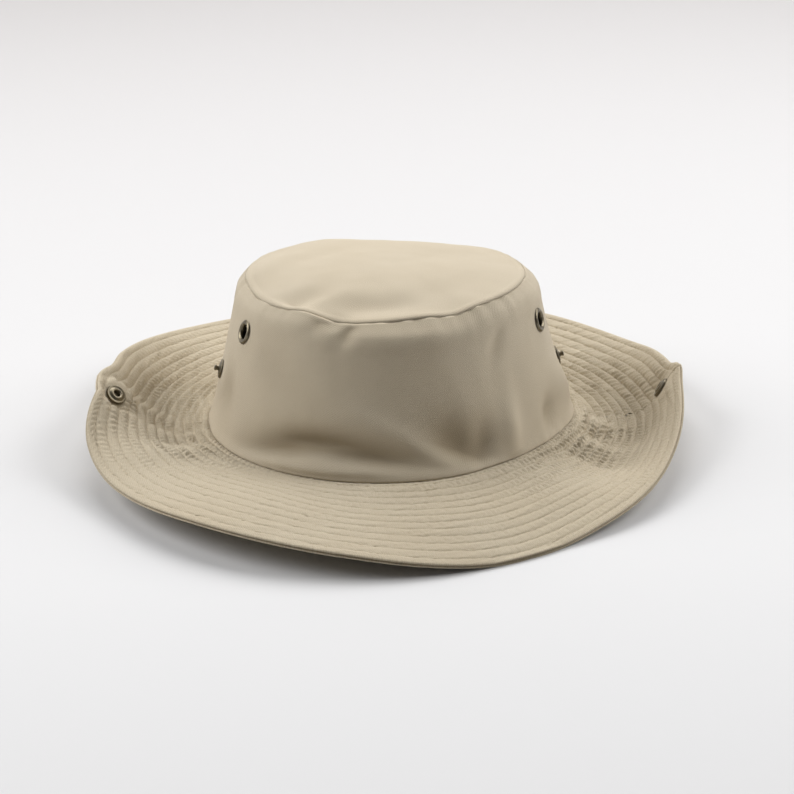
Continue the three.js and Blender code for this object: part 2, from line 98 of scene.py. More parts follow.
# The brim's slope in degrees at its root, its middle and its edge.
brimSlopes = [
    dict(azimuth=0, root=-48, middle=2, edge=50),
    dict(azimuth=25, root=-20, middle=5, edge=24),
    dict(azimuth=50, root=-2, middle=8, edge=20),
    dict(azimuth=75, root=2, middle=9, edge=17),
    dict(azimuth=105, root=0, middle=7, edge=15),
    dict(azimuth=130, root=-2, middle=5, edge=20),
    dict(azimuth=155, root=-15, middle=0, edge=42),
    dict(azimuth=168, root=-34, middle=2, edge=56),
    dict(azimuth=180, root=-44, middle=28, edge=44),
    dict(azimuth=193, root=-16, middle=22, edge=4),
    dict(azimuth=206, root=5, middle=3, edge=-5),
    dict(azimuth=230, root=-2, middle=4, edge=-8),
    dict(azimuth=255, root=-10, middle=-6, edge=-7),
    dict(azimuth=285, root=-12, middle=-11, edge=-20),
    dict(azimuth=310, root=-11, middle=-5, edge=-11),
    dict(azimuth=335, root=-41, middle=-11, edge=27),
]

# Folds of the crown side: place, half-widths across, above and below and depth as shares of the
# crown's height, and how much the fold climbs as it goes round.
wallFolds = [
    dict(azimuth=232, up=0.13, across=0.38, tall=0.110, below=0.045, depth=-0.070, slant=0.17),
    dict(azimuth=255, up=0.14, across=0.42, tall=0.110, below=0.045, depth=-0.078, slant=-0.12),
    dict(azimuth=240, up=0.05, across=0.60, tall=0.040, below=0.040, depth=0.022, slant=0.03),
    dict(azimuth=268, up=0.28, across=0.36, tall=0.070, below=0.080, depth=0.016, slant=-0.44),
    dict(azimuth=286, up=0.14, across=0.24, tall=0.240, below=0.065, depth=-0.078, slant=-0.42),
    dict(azimuth=297, up=0.13, across=0.11, tall=0.200, below=0.090, depth=-0.034, slant=0.30),
    dict(azimuth=309, up=0.20, across=0.10, tall=0.200, below=0.180, depth=0.038, slant=0.50),
    dict(azimuth=333, up=0.16, across=0.13, tall=0.110, below=0.100, depth=-0.042, slant=0.20),
    dict(azimuth=351, up=0.28, across=0.24, tall=0.160, below=0.150, depth=0.046, slant=0.00),
    dict(azimuth=239, up=0.95, across=0.09, tall=0.050, below=0.050, depth=-0.026, slant=0.20),
    dict(azimuth=250, up=0.93, across=0.08, tall=0.045, below=0.070, depth=-0.036, slant=0.30),
    dict(azimuth=276, up=0.90, across=0.62, tall=0.040, below=0.160, depth=0.016, slant=-0.03),
    dict(azimuth=308, up=0.75, across=0.12, tall=0.080, below=0.100, depth=-0.020, slant=0.60),
    dict(azimuth=222, up=0.62, across=0.30, tall=0.150, below=0.150, depth=-0.018, slant=-0.30),
    dict(azimuth=195, up=0.30, across=0.20, tall=0.160, below=0.160, depth=-0.035, slant=0.00),
    dict(azimuth=95, up=0.35, across=0.70, tall=0.140, below=0.100, depth=-0.040, slant=0.10),
    dict(azimuth=60, up=0.50, across=0.16, tall=0.300, below=0.300, depth=-0.035, slant=-0.30),
    dict(azimuth=130, up=0.45, across=0.18, tall=0.300, below=0.300, depth=0.030, slant=0.30),
]

# Dents of the tip: place, half-length and half-width as shares of its half-width, depth as a share
# of its rise, and the turn of the dent in degrees.
tipFolds = [
    dict(azimuth=222, reach=0.88, long=0.24, wide=0.12, depth=-0.36, turn=25),
    dict(azimuth=262, reach=0.80, long=0.30, wide=0.12, depth=-0.36, turn=-5),
    dict(azimuth=242, reach=0.78, long=0.26, wide=0.10, depth=0.22, turn=75),
    dict(azimuth=165, reach=0.80, long=0.40, wide=0.12, depth=0.20, turn=60),
    dict(azimuth=150, reach=0.55, long=0.30, wide=0.14, depth=-0.16, turn=35),
    dict(azimuth=300, reach=0.70, long=0.35, wide=0.14, depth=-0.12, turn=30),
    dict(azimuth=20, reach=0.55, long=0.50, wide=0.25, depth=-0.20, turn=30),
    dict(azimuth=120, reach=0.50, long=0.45, wide=0.25, depth=-0.16, turn=-20),
]

# Waves of the brim: place, half-widths round and out, and height as shares of its width.
brimGathers = [
    dict(azimuth=352, out=0.24, across=0.07, along=0.26, height=0.030),
    dict(azimuth=345, out=0.30, across=0.07, along=0.30, height=-0.030),
    dict(azimuth=337, out=0.34, across=0.08, along=0.30, height=0.028),
    dict(azimuth=328, out=0.36, across=0.09, along=0.32, height=-0.022),
    dict(azimuth=188, out=0.26, across=0.07, along=0.26, height=0.017),
    dict(azimuth=196, out=0.32, across=0.08, along=0.30, height=-0.018),
    dict(azimuth=204, out=0.34, across=0.09, along=0.30, height=0.014),
    dict(azimuth=240, out=0.60, across=0.40, along=0.60, height=0.030),
    dict(azimuth=296, out=0.65, across=0.35, along=0.60, height=-0.030),
]

fittings = dict(
    eyelets=[
        dict(name="eyelet_front_left", azimuth=201, up=0.77),
        dict(name="eyelet_front_right", azimuth=341, up=0.75),
        dict(name="eyelet_back_left", azimuth=150, up=0.75),
        dict(name="eyelet_back_right", azimuth=30, up=0.75),
    ],
    studs=[
        dict(name="stud_left", azimuth=180, up=0.38),
        dict(name="stud_right", azimuth=0, up=0.38),
    ],
    sockets=[
        dict(name="socket_left", azimuth=180, out=0.84, faces=(0.50, -0.48, 0.69)),
        dict(name="socket_right", azimuth=0, out=0.85, faces=(-0.82, 0.24, 0.53)),
    ],
    holdWithin=12 * mm,     # the cloth is flat this near a fitting
    holdFrom=0.6,           # share of that reach which is wholly flat
    tiltWithin=5 * mm,      # the cloth faces as its socket does this near,
    tiltFades=13 * mm,      # and is back on the brim's slope this much farther
    tiltRim=0.1,            # share of the brim's width where it fades towards the edge
    leastFacing=0.5,        # limits the lift where the slope is turned far from the socket
    hole=4.2 * mm,          # half-width of the hole in the cloth under an eyelet
    holeReach=5 * mm,       # how far along its axis the hole cuts
)

# Camera: the target shows at the pixel seenAt of a picture this many pixels wide.
view = dict(
    azimuth=-6, elevation=23.4, distance=1.2, sensor=36,
    picture=794, pixelsPerMetre=2000, target=(0, 0, 40 * mm), seenAt=(387.4, 358.6),
)


def makeCamera():
    a, e = math.radians(view["azimuth"]), math.radians(view["elevation"])
    back = Vector((math.sin(a) * math.cos(e), -math.cos(a) * math.cos(e), math.sin(e)))
    right = Vector((math.cos(a), math.sin(a), 0))
    up = back.cross(right)
    middle = view["picture"] / 2
    toRight = (middle - view["seenAt"][0]) / view["pixelsPerMetre"]
    toTop = (view["seenAt"][1] - middle) / view["pixelsPerMetre"]
    aim = Vector(view["target"]) + right * toRight + up * toTop
    data = bpy.data.cameras.new("camera")
    data.sensor_width = view["sensor"]
    data.lens = view["sensor"] * view["pixelsPerMetre"] * view["distance"] / view["picture"]
    camera = bpy.data.objects.new("camera", data)
    camera.location = aim + back * view["distance"]
    camera.rotation_euler = (-back).to_track_quat("-Z", "Y").to_euler()
    bpy.context.collection.objects.link(camera)
    bpy.context.scene.camera = camera


makeCamera()
print("camera placed")


# A smooth curve through a table's rows, at one place or many
def tableValue(rows, key, column, at, closed=False):
    x = np.array([row[key] for row in rows], float)
    y = np.array([row[column] for row in rows], float)
    if closed:
        x = np.concatenate([x - 360, x, x + 360])
        y = np.tile(y, 3)
    slope = np.empty_like(y)
    slope[1:-1] = (y[2:] - y[:-2]) / (x[2:] - x[:-2])
    slope[0] = (y[1] - y[0]) / (x[1] - x[0])
    slope[-1] = (y[-1] - y[-2]) / (x[-1] - x[-2])
    i = np.clip(np.searchsorted(x, at, "right") - 1, 0, len(x) - 2)
    span = x[i + 1] - x[i]
    t = (at - x[i]) / span
    return ((2 * t**3 - 3 * t**2 + 1) * y[i] + (t**3 - 2 * t**2 + t) * slope[i] * span
            + (3 * t**2 - 2 * t**3) * y[i + 1] + (t**3 - t**2) * slope[i + 1] * span)


def roundTable(rows, column, azimuth):
    return tableValue(rows, "azimuth", column, azimuth % 360, True)


def ease(x):
    x = np.clip(x, 0, 1)
    return x * x * (3 - 2 * x)


def bell(x):
    return np.exp(-x * x)


def wrap(degrees):
    return (np.asarray(degrees) + 180) % 360 - 180


def mix(a, b, t):
    return a + (b - a) * t


# Smooth noise, the same at each run; the seed picks another stretch of it
def noiseAt(u, v, seed):
    return np.array([noise.noise((a, b, seed)) for a, b in zip(u.ravel(), v.ravel())]).reshape(u.shape)


def unit(vectors):
    return vectors / np.maximum(np.linalg.norm(vectors, axis=-1, keepdims=True), 1e-12)


def outward(azimuth):
    a = np.radians(azimuth)
    level = np.stack([np.cos(a) / form["baseHalfWidth"], np.sin(a) / form["baseHalfDepth"], 0 * a], -1)
    return unit(level)


def baseOval(azimuth):
    a = np.radians(azimuth)
    share = 1 + roundTable(baseSeam, "out", azimuth)
    x = form["baseHalfWidth"] * share * np.cos(a)
    y = form["baseHalfDepth"] * share * np.sin(a)
    return np.stack([x, y, 0 * a], -1)


# 0 beside a fitting and 1 away from it, so that folds and puckers fade out there
def openCloth(places, azimuth, share, key, length, within):
    value = np.ones_like(azimuth, dtype=float)
    for place in places:
        across = np.radians(wrap(azimuth - place["azimuth"])) * form["baseHalfWidth"]
        along = (share - place[key]) * length
        value *= ease(np.hypot(across, along) / within - fittings["holdFrom"])
    return value


def openWall(azimuth, s):
    return openCloth(fittings["eyelets"] + fittings["studs"], azimuth, s, "up", form["crownHeight"],
                     fittings["holdWithin"])


def openBrim(azimuth, t, within):
    return openCloth(fittings["sockets"], azimuth, t, "out", form["brimWidth"], within)


# Crown side, s = 0 at the brim seam and 1 at the tip seam; its folds fade out at both
def wallFold(azimuth, s):
    fold = np.zeros_like(s + 0.0 * azimuth)
    for row in wallFolds:
        across = np.radians(wrap(azimuth - row["azimuth"])) * form["baseHalfWidth"] / form["crownHeight"]
        above = s - row["up"] - row["slant"] * across
        tall = np.where(above < 0, row["below"], row["tall"])
        fold += row["depth"] * bell(across / row["across"]) * bell(above / tall)
    fold *= ease(s / 0.05) * ease((1 - s) / 0.04)
    return fold * openWall(azimuth, s)


def wallPoint(azimuth, s):
    a = np.radians(azimuth)
    right, left = (tableValue(wallSection, "up", column, s) for column in ("right", "left"))
    out = mix(right, left, (1 - np.cos(a)) / 2)
    stray = 1 + roundTable(tipSeam, "out", azimuth)
    base = baseOval(azimuth)
    x = mix(base[..., 0], form["tipHalfWidth"] * stray * np.cos(a), out)
    y = mix(base[..., 1], form["tipHalfDepth"] * stray * np.sin(a), out) + form["tipSetBack"] * s
    up = s + roundTable(tipSeam, "up", azimuth) * s**3
    z = form["brimWall"] / 2 + form["seamGap"] + form["crownHeight"] * up
    fold = wallFold(azimuth, s) * form["crownHeight"]
    return np.stack([x, y, z + 0 * x], -1) + outward(azimuth) * fold[..., None]


# Tip, r = 0 in the middle and 1 at the tip seam
def tipPoint(azimuth, r):
    a = np.radians(azimuth)
    stray = 1 + roundTable(tipSeam, "out", azimuth) * r**2
    x = form["tipHalfWidth"] * stray * r * np.cos(a)
    y = form["tipHalfDepth"] * stray * r * np.sin(a)
    up = 1 + roundTable(tipSeam, "up", azimuth) * r**3
    rise = 1 - r**form["tipDome"]
    for row in tipFolds:
        turn = math.radians(row["turn"])
        place = math.radians(row["azimuth"])
        dx = x - form["tipHalfWidth"] * row["reach"] * math.cos(place)
        dy = y - form["tipHalfDepth"] * row["reach"] * math.sin(place)
        along = (dx * math.cos(turn) + dy * math.sin(turn)) / (row["long"] * form["tipHalfWidth"])
        across = (dy * math.cos(turn) - dx * math.sin(turn)) / (row["wide"] * form["tipHalfWidth"])
        rise = rise + row["depth"] * bell(along) * bell(across) * ease((1 - r) / 0.1)
    top = form["brimWall"] / 2 + form["seamGap"] + form["crownHeight"] * up
    return np.stack([x, y + form["tipSetBack"], top + form["tipRise"] * rise], -1)


# Brim, t = 0 under the crown side and 1 at the edge; it starts level under the crown's wall
levelReach = 3 * form["crownWall"] / form["brimWidth"]


# Where the slopes are read from, so that they stay the same beside the side seams
def slopeAzimuth(azimuth):
    hold = form["seamHold"]
    fromRight = wrap(azimuth)
    fromLeft = wrap(np.asarray(azimuth) - 180)
    away = np.where(np.abs(fromRight) <= 90, fromRight, fromLeft)
    turned = np.sign(away) * np.maximum(0, np.abs(away) - hold) * 90 / (90 - hold)
    return (turned + np.where(np.abs(fromRight) <= 90, 0, 180)) % 360


def brimPoint(azimuth, t):
    at = slopeAzimuth(azimuth)
    root, middle, edge = (roundTable(brimSlopes, column, at) for column in ("root", "middle", "edge"))
    step = t / form["brimSteps"]
    reach = np.full_like(t, -form["crownWall"] / 2)
    rise = np.zeros_like(t)
    for i in range(form["brimSteps"]):
        u = (i + 0.5) * step
        outer = np.clip((u - form["middleAt"]) / (form["straightFrom"] - form["middleAt"]), 0, 1)
        nearCrown = mix(root, middle, u / form["middleAt"])
        slope = np.where(u < form["middleAt"], nearCrown, mix(middle, edge, outer))
        slope = np.radians(slope) * ease((u - levelReach / 3) / levelReach)
        reach = reach + np.cos(slope) * step * form["brimWidth"]
        rise = rise + np.sin(slope) * step * form["brimWidth"]
    gather = np.zeros_like(t)
    for row in brimGathers:
        across = np.radians(wrap(azimuth - row["azimuth"])) * form["baseHalfWidth"] / form["brimWidth"]
        gather += row["height"] * bell(across / row["across"]) * bell((t - row["out"]) / row["along"])
    gather *= ease((t - levelReach) / 0.15)
    gather *= openBrim(azimuth, t, fittings["holdWithin"]) * form["brimWidth"]
    point = baseOval(azimuth)
    point[..., 2] = rise
    point = point + outward(azimuth) * (reach - np.sin(slope) * gather)[..., None]
    point[..., 2] += np.cos(slope) * gather
    return point


# Where a surface faces, from steps of half a degree and a hundredth of its length
def faceOf(surface, azimuth, share):
    low, high = np.maximum(0, share - 0.01), np.minimum(1, share + 0.01)
    around = surface(azimuth + 0.5, share) - surface(azimuth - 0.5, share)
    along = surface(azimuth, high) - surface(azimuth, low)
    return unit(np.cross(around, along))


# Level at the brim seam, and half-way up to the tip's face at the tip seam
def wallFace(azimuth, s):
    face = faceOf(wallPoint, azimuth, s)
    level = outward(azimuth)
    face = mix(level, face, ease(s / 0.03)[..., None])
    mitre = unit(level + np.array([0, 0, 1]))
    return unit(mix(mitre, face, ease((1 - s) / 0.03)[..., None]))


def tipFace(azimuth, r):
    face = -faceOf(tipPoint, azimuth, np.maximum(r, 0.02))
    mitre = unit(outward(azimuth) + np.array([0, 0, 1]))
    return unit(mix(mitre, face, ease((1 - r) / 0.03)[..., None]))


def brimFace(azimuth, t):
    return unit(mix(np.array([0, 0, 1.0]), -faceOf(brimPoint, azimuth, t), ease(t / 0.02)[..., None]))


# From the level hat to the hat as it lies, with nothing below the floor given
def settled(points, floor=0.0):
    c, s = math.cos(form["lean"]), math.sin(form["lean"])
    x, y, z = points[..., 0], points[..., 1], points[..., 2]
    back = y * c + z * s + form["shiftBack"]
    moved = np.stack([x + form["shiftRight"], back, z * c - y * s + form["lift"]], -1)
    moved[..., 2] = np.maximum(moved[..., 2], floor)
    return moved


# Seats a fitting on its cloth, its own z outwards along the cloth's face or the one given
def fittingMatrix(surface, face, azimuth, share, faces=None):
    a, s = np.array([float(azimuth)]), np.array([float(share)])
    origin = surface(a, s)
    axis = face(a, s) if faces is None else unit(np.array([faces]))
    here = settled(origin)[0]
    up = Vector(unit(settled(origin + axis * mm)[0] - here))
    side = Vector(unit(settled(origin + outward(a + 90) * mm)[0] - here))
    side = (side - up * side.dot(up)).normalized()
    turn = Matrix((side, up.cross(side), up)).transposed().to_4x4()
    return Matrix.Translation(here) @ turn


def wallSeat(row):
    return fittingMatrix(wallPoint, wallFace, row["azimuth"], row["up"])


# A hole through both faces of the cloth, its rims joined by a band
def cutHole(bm, centre, axis, radius):
    def within(point, reach):
        away = point - centre
        return abs(away.dot(axis)) < fittings["holeReach"] and away.cross(axis).length < reach

    inside = [face for face in bm.faces if within(face.calc_center_median(), radius)]
    bmesh.ops.delete(bm, geom=inside, context="FACES")
    rims = [edge for edge in bm.edges if edge.is_boundary and within(edge.verts[0].co, 2 * radius)]
    bmesh.ops.bridge_loops(bm, edges=rims)


# A grid of columns round the hat and rows along a section, moved onto its surface and closed. Its
# place function gives each point, its place in the weave and how much painted shade darkens its colour
# there.
def clothPiece(name, columns, rows, place, nodes, material, holes=()):
    bm = bmesh.new()
    bmesh.ops.create_grid(bm, x_segments=columns, y_segments=int(rows), size=0.5)
    bm.verts.ensure_lookup_table()
    flat = np.array([v.co[:] for v in bm.verts])
    u, v = flat[:, 0] + 0.5, flat[:, 1] + 0.5
    points, pattern, wearAndShade = place(u, v)
    for vert, point in zip(bm.verts, points):
        vert.co = point
    # painted shade: how far each point's colour is darkened in the creases and rows, read by the material
    shade = bm.verts.layers.float.new("paintedCreaseShade")
    for vert, share in zip(bm.verts, wearAndShade):
        vert[shade] = share
    layer = bm.loops.layers.uv.new("clothPattern")
    for face in bm.faces:
        for loop in face.loops:
            loop[layer].uv = pattern[loop.vert.index]
    bmesh.ops.remove_doubles(bm, verts=bm.verts, dist=1e-7)
    for matrix, radius in holes:
        cutHole(bm, matrix.translation, (matrix.to_3x3() @ Vector((0, 0, 1))).normalized(), radius)
    bmesh.ops.recalc_face_normals(bm, faces=bm.faces)
    for face in bm.faces:
        face.smooth = True
    mesh = bpy.data.meshes.new(name)
    bm.to_mesh(mesh)
    bm.free()
    piece = bpy.data.objects.new(name, mesh)
    bpy.context.collection.objects.link(piece)
    mesh.materials.append(material)
    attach(piece, "root")
    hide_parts(*nodes)
    print(name, len(mesh.polygons), "faces")


# Materials: sRGB hex colours turned to linear ones
def linear(hexColour):
    channels = [int(hexColour[i:i + 2], 16) / 255 for i in (1, 3, 5)]
    return [c / 12.92 if c <= 0.04045 else ((c + 0.055) / 1.055) ** 2.4 for c in channels] + [1]


def newMaterial(name):
    material = bpy.data.materials.new(name)
    material.use_nodes = True
    return material, material.node_tree.nodes["Principled BSDF"]


def addNode(material, kind, settings=None, inputs=None, links=None):
    node = material.node_tree.nodes.new(kind)
    for key, value in (settings or {}).items():
        setattr(node, key, value)
    for key, value in (inputs or {}).items():
        node.inputs[key].default_value = value
    for key, source in (links or {}).items():
        material.node_tree.links.new(source, node.inputs[key])
    return node


def join(material, source, target):
    material.node_tree.links.new(source, target)


twill = dict(
    pitch=0.85 * mm,        # between the weave's diagonal ridges
    yarn=0.42 * mm,         # across one yarn
    cloud=41.7 * mm,        # across one faded patch
    angle=math.radians(52),
    depth=0.16 * mm,
    foldShade=0.60,         # how much painted shade darkens the cloth's colour in its creases and rows
    # the colour of the painted shade in creases and rows
    paintedShadeColour="#7D6C4F",
)


# Cotton drill, piece dyed and washed soft: matt, with fine diagonal ribs, pale flecks of lint and faded
# patches, and painted shade in its creases and rows. Its ribs are drawn coarser than real ones, so that
# they show.
def cottonTwill(name, light, dark, pale, crease):
    material, shader = newMaterial(name)
    uv = addNode(material, "ShaderNodeUVMap", dict(uv_map="clothPattern"))
    turned = addNode(material, "ShaderNodeMapping", None, {"Rotation": (0, 0, twill["angle"])},
                     {"Vector": uv.outputs["UV"]})
    # a wave texture's bands are pi/10 apart over its scale
    ribs = addNode(material, "ShaderNodeTexWave", dict(wave_type="BANDS", bands_direction="X"),
                   {"Scale": math.pi / 10 / twill["pitch"], "Distortion": 0.6, "Detail": 1.0,
                    "Detail Scale": 0.5}, {"Vector": turned.outputs["Vector"]})
    yarns = addNode(material, "ShaderNodeTexNoise", dict(noise_dimensions="2D"),
                    {"Scale": 1 / twill["yarn"], "Detail": 1.0}, {"Vector": uv.outputs["UV"]})
    position = addNode(material, "ShaderNodeTexCoord")
    clouds = addNode(material, "ShaderNodeTexNoise", None, {"Scale": 1 / twill["cloud"], "Detail": 3.0},
                     {"Vector": position.outputs["Object"]})
    woven = addNode(material, "ShaderNodeMix", dict(data_type="FLOAT"), {"Factor": 0.6},
                    {"A": ribs.outputs["Fac"], "B": yarns.outputs["Fac"]})
    tone = addNode(material, "ShaderNodeMix", dict(data_type="RGBA"),
                   {"A": linear(dark), "B": linear(light)}, {"Factor": woven.outputs["Result"]})
    flecks = addNode(material, "ShaderNodeMapRange", None,
                     {"From Min": 0.45, "From Max": 0.75, "To Min": 0.0, "To Max": 0.50},
                     {"Value": yarns.outputs["Fac"]})
    flecked = addNode(material, "ShaderNodeMix", dict(data_type="RGBA"), {"B": linear(pale)},
                      {"Factor": flecks.outputs["Result"], "A": tone.outputs["Result"]})
    wear = addNode(material, "ShaderNodeMapRange", None,
                   {"From Min": 0.35, "From Max": 0.70, "To Min": 0.0, "To Max": 0.35},
                   {"Value": clouds.outputs["Fac"]})
    aged = addNode(material, "ShaderNodeMix", dict(data_type="RGBA"), {"B": linear(crease)},
                   {"Factor": wear.outputs["Result"], "A": flecked.outputs["Result"]})
    # painted shade: the colour darkens towards the shade colour where the cloth's creases and rows are
    # marked
    paintedShadeMask = addNode(material, "ShaderNodeAttribute", dict(attribute_name="paintedCreaseShade"))
    paintedShadeAmount = addNode(material, "ShaderNodeMath", dict(operation="MULTIPLY"), {1: twill["foldShade"]},
                     {0: paintedShadeMask.outputs["Fac"]})
    shaded = addNode(material, "ShaderNodeMix", dict(data_type="RGBA"), {"B": linear(twill["paintedShadeColour"])},
                     {"Factor": paintedShadeAmount.outputs["Value"], "A": aged.outputs["Result"]})
    join(material, shaded.outputs["Result"], shader.inputs["Base Color"])
    height = addNode(material, "ShaderNodeMath", dict(operation="MULTIPLY_ADD"), {1: 0.4},
                     {0: ribs.outputs["Fac"], 2: yarns.outputs["Fac"]})
    bump = addNode(material, "ShaderNodeBump", None, {"Strength": 1.0, "Distance": twill["depth"]},
                   {"Height": height.outputs["Value"]})
    join(material, bump.outputs["Normal"], shader.inputs["Normal"])
    shader.inputs["Roughness"].default_value = 0.92
    shader.inputs["Specular IOR Level"].default_value = 0.25
    shader.inputs["Sheen Weight"].default_value = 0.12
    shader.inputs["Sheen Roughness"].default_value = 0.6
    return material


crownCloth = cottonTwill("cottonTwillCrown", "#C5B9A3", "#AFA28B", "#D0C6B4", "#B7A990")
# the brim's cloth is a little darker than the crown's: painted shade that darkens the brim as a whole
brimCloth = cottonTwill("cottonTwillBrim", "#C3B7A0", "#ADA088", "#CEC4B1", "#B5A68C")


yarn = dict(fuzz=0.667 * mm, fuzzDepth=0.05 * mm)


# Spun cotton thread, dyed with the cloth: matt and a little fuzzy
def cottonThread():
    material, shader = newMaterial("cottonThread")
    position = addNode(material, "ShaderNodeTexCoord")
    fuzz = addNode(material, "ShaderNodeTexNoise", None, {"Scale": 1 / yarn["fuzz"], "Detail": 2.0},
                   {"Vector": position.outputs["Object"]})
    tone = addNode(material, "ShaderNodeMix", dict(data_type="RGBA"),
                   {"A": linear("#B5A68B"), "B": linear("#D6CAB3")}, {"Factor": fuzz.outputs["Fac"]})
    join(material, tone.outputs["Result"], shader.inputs["Base Color"])
    bump = addNode(material, "ShaderNodeBump", None, {"Strength": 0.4, "Distance": yarn["fuzzDepth"]},
                   {"Height": fuzz.outputs["Fac"]})
    join(material, bump.outputs["Normal"], shader.inputs["Normal"])
    shader.inputs["Roughness"].default_value = 0.85
    return material


finish = dict(spot=2.38 * mm, dark="#575043", wearAndShade="#948B77")


# Brass with an antique finish: satin, with darker and lighter spots where it has worn unevenly
def antiqueBrass():
    material, shader = newMaterial("antiqueBrass")
    position = addNode(material, "ShaderNodeTexCoord")
    grime = addNode(material, "ShaderNodeTexNoise", None, {"Scale": 1 / finish["spot"], "Detail": 4.0},
                    {"Vector": position.outputs["Object"]})
    tone = addNode(material, "ShaderNodeMix", dict(data_type="RGBA"),
                   {"A": linear(finish["dark"]), "B": linear(finish["wearAndShade"])},
                   {"Factor": grime.outputs["Fac"]})
    join(material, tone.outputs["Result"], shader.inputs["Base Color"])
    rough = addNode(material, "ShaderNodeMapRange", None, {"To Min": 0.28, "To Max": 0.5},
                    {"Value": grime.outputs["Fac"]})
    join(material, rough.outputs["Result"], shader.inputs["Roughness"])
    shader.inputs["Metallic"].default_value = 1.0
    return material


thread = cottonThread()
brass = antiqueBrass()
print("materials made")

# The rounding of a sewn edge: 1 at the seam and 0 from one roll's width away
def rolled(share):
    return 1 - np.sqrt(np.clip(1 - np.clip(1 - share, 0, 1) ** 2, 0, 1))


# Crown side: outer face, turned edges and inner face as one closed section
sideCloth = dict(
    columns=720, outerRows=96, innerRows=24, turnRows=3,
    seamRoll=0.6 * mm, seamSink=0.15 * mm, seamClear=0.02 * mm,
    ripple=0.50 * mm,       # height of the slack in the cloth
    deepFold=0.07,          # a fold this deep, as a share of the crown's height, gets the fullest painted shade
    weaveRadius=84 * mm,    # the weave runs round the crown at this mean radius,
    weaveTall=72 * mm,      # and up the slope of the wall
)


def wallRelief(azimuth, s):
    a = np.radians(azimuth)
    around = a * form["baseHalfWidth"]
    up = s * form["crownHeight"]
    soft = noiseAt(np.cos(a) * 3.1 + up * 28, np.sin(a) * 3.1, 3.0)
    fine = noiseAt(around * 90, up * 60, 7.0)
    bySeams = bell((1 - s) / 0.10) + 0.7 * bell(s / 0.07)
    pucker = noiseAt(around * 140, up * 30, 11.0) * bySeams
    return sideCloth["ripple"] * (1.4 * soft + 0.35 * fine + 1.1 * pucker)


sideRows = np.cumsum([0] + [sideCloth[key] for key in ("outerRows", "turnRows", "innerRows", "turnRows")])


def wallSheet(u, v):
    p = sideCloth
    row = np.round(v * sideRows[-1])
    azimuth = u * 360
    s = np.interp(row, sideRows, [0, 1, 1, 0, 0])
    side = np.interp(row, sideRows, [1, 1, -1, -1, 1])
    roll = rolled(np.minimum(s, 1 - s) * form["crownHeight"] / p["seamRoll"]) * (side == 1)
    lift = side * form["crownWall"] / 2 - roll * p["seamSink"]
    lift = lift + wallRelief(azimuth, s) * openWall(azimuth, s)
    points = wallPoint(azimuth, s) + wallFace(azimuth, s) * lift[:, None]
    points[:, 2] -= np.where(s == 1, p["seamClear"], 0)
    pattern = np.stack([np.radians(azimuth) * p["weaveRadius"], s * p["weaveTall"]], -1)
    # painted shade in the crown side's folds, darker where a fold is deeper, on the outer face only
    paintedFoldShade = np.clip(-wallFold(azimuth, s) / p["deepFold"], 0, 1) * (side > 0)
    return settled(points, form["brimWall"]), pattern, paintedFoldShade


eyeletHoles = [(wallSeat(row), fittings["hole"]) for row in fittings["eyelets"]]
clothPiece("crownSideCloth", sideCloth["columns"], sideRows[-1], wallSheet,
           ["crown_side"], crownCloth, eyeletHoles)

# Tip: outer face, its turned edge and the inner face, closed in the middle of both faces
tipCloth = dict(
    columns=480, outerRows=70, innerRows=20, turnRows=3,
    seamRoll=0.7 * mm, seamSink=0.15 * mm, seamClear=0.02 * mm,
    welt=0.42 * mm,         # the seam's turned allowance shows as a low ridge beside it,
    weltAt=2.4, weltWide=1.5,   # so many rolls from the seam and so wide
    ripple=0.55 * mm,
)
tipRows = np.cumsum([0] + [tipCloth[key] for key in ("outerRows", "turnRows", "innerRows")])


def tipRelief(x, y):
    soft = noiseAt(x * 30, y * 30, 21.0)
    fine = noiseAt(x * 95, y * 95, 27.0)
    return tipCloth["ripple"] * (1.5 * soft + 0.4 * fine)


def tipSheet(u, v):
    p = tipCloth
    row = np.round(v * tipRows[-1])
    r = np.interp(row, tipRows, [0, 1, 1, 0])
    side = np.interp(row, tipRows, [1, 1, -1, -1])
    azimuth = np.where(r == 0, 0, u * 360)
    near = (1 - r) * form["tipHalfWidth"] / p["seamRoll"]
    middle = tipPoint(azimuth, r)
    welt = p["welt"] * bell((near - p["weltAt"]) / p["weltWide"])
    lift = side * form["crownWall"] / 2 - rolled(near) * (side == 1) * p["seamSink"] + welt * (side > 0)
    lift = lift + tipRelief(middle[:, 0], middle[:, 1])
    points = middle + tipFace(azimuth, r) * lift[:, None]
    points -= outward(azimuth) * np.where(r == 1, p["seamClear"], 0)[:, None]
    return settled(points), middle[:, :2], np.zeros(len(u))


clothPiece("crownTipCloth", tipCloth["columns"], tipRows[-1], tipSheet,
           ["crown_tip"], crownCloth)

